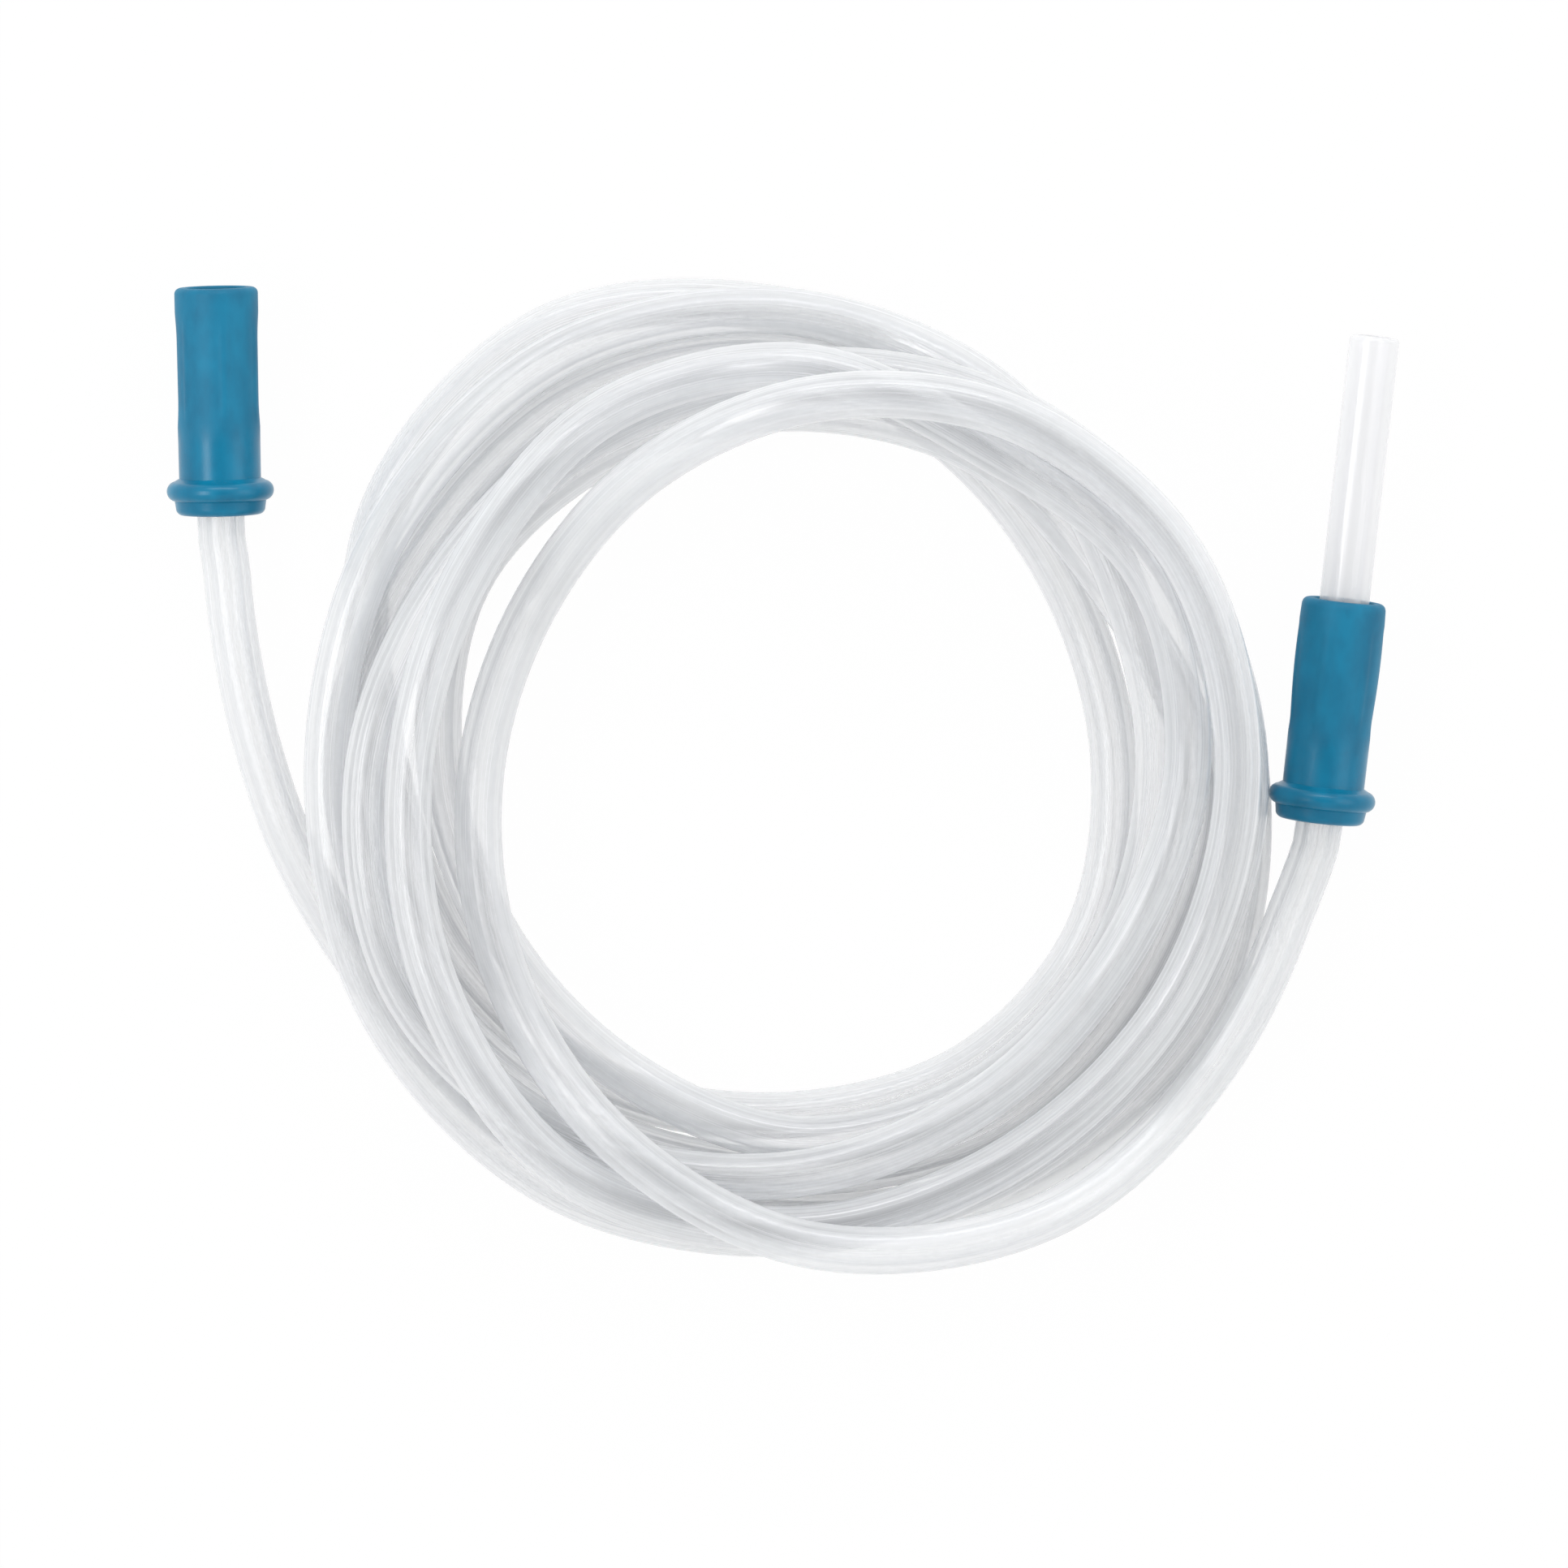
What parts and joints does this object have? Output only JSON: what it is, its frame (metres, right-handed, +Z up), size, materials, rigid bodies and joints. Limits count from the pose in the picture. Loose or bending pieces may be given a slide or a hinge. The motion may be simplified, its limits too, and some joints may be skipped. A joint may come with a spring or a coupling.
{
  "type": "suction tubing",
  "caption": "Coiled length of clear flexible suction tubing with a soft ringed socket on each end and a straight clear adapter pushed into one of them.",
  "frame": {"origin": "on the surface that the coil lies on, under the middle of the whole object's outline", "axes": "+Z up, +X across both connectors from the bare socket to the one that holds the adapter, +Y towards both open ends"},
  "size_m": [0.1949, 0.1568, 0.0392],
  "materials": {
    "clear_vinyl": "clear, slightly milky, glossy",
    "blue_vinyl": "satin, soft",
    "clear_styrene": "clear, slightly milky, glossy"
  },
  "bodies": {
    "root": {"tube": "clear_vinyl", "left_connector": "blue_vinyl", "right_connector": "blue_vinyl", "male_adapter": "clear_styrene"}
  },
  "joints": []
}
